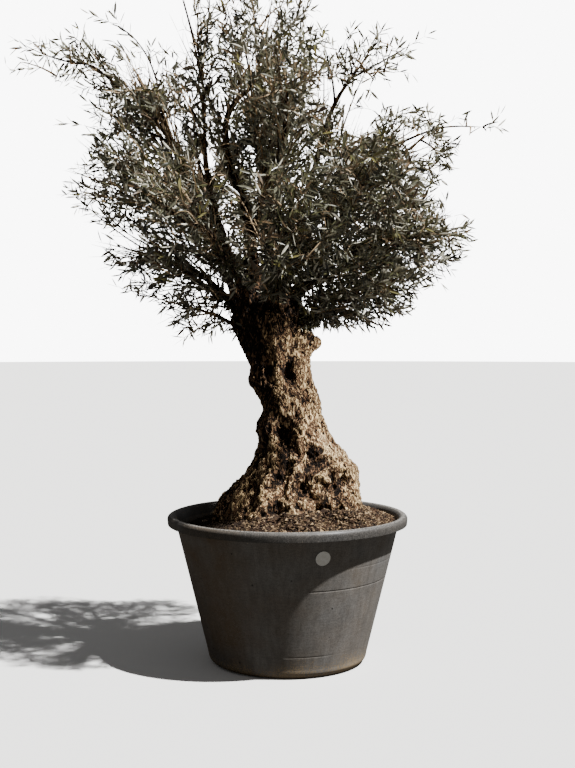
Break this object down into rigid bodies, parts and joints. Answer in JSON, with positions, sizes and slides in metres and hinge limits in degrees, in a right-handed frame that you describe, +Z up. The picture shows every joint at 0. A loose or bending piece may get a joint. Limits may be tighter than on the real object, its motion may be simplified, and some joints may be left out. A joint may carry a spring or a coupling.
{
  "type": "olive tree in a tub",
  "caption": "Old pollarded olive tree with a gnarled, flared trunk and an open, round crown of narrow grey-green leaves, in a round black plastic nursery tub.",
  "frame": {"origin": "centre of the tub's flat underside", "axes": "+Z up along the trunk; -Y towards the side that carries the blank tag; +X to the right when that side is seen"},
  "size_m": [2.459, 1.4628, 3.3321],
  "materials": {
    "plastic": "dusty black plastic",
    "soil": "dry brown soil",
    "tag": "plain white plastic",
    "bark": "rough grey-brown bark",
    "foliage": "dark olive-green leaves on grey-brown twigs"
  },
  "bodies": {
    "root": {"tub": "plastic", "soil": "soil", "plant_tag": "tag", "trunk": "bark", "left_bough": "bark", "centre_leader": "bark", "centre_fork": "bark", "tall_bough": "bark", "upper_left_bough": "bark", "arching_shoot": "bark", "lower_left_bough": "bark", "right_bough": "bark", "low_right_bough": "bark", "right_leader": "bark", "upper_right_bough": "bark", "inner_right_bough": "bark", "long_right_shoot": "bark", "front_bough": "bark", "front_left_bough": "bark", "front_right_bough": "bark", "front_top_bough": "bark", "back_bough": "bark", "back_left_bough": "bark", "back_right_bough": "bark", "back_top_bough": "bark", "top_foliage": "foliage", "tall_foliage": "foliage", "upper_left_foliage": "foliage", "arching_foliage": "foliage", "left_foliage": "foliage", "lower_left_foliage": "foliage", "hanging_foliage": "foliage", "centre_foliage": "foliage", "upper_right_foliage": "foliage", "right_top_foliage": "foliage", "long_right_foliage": "foliage", "right_foliage": "foliage", "low_right_foliage": "foliage", "inner_right_foliage": "foliage", "front_foliage": "foliage", "front_left_foliage": "foliage", "front_right_foliage": "foliage", "front_top_foliage": "foliage", "back_foliage": "foliage", "back_left_foliage": "foliage", "back_right_foliage": "foliage", "back_top_foliage": "foliage"}
  },
  "joints": []
}
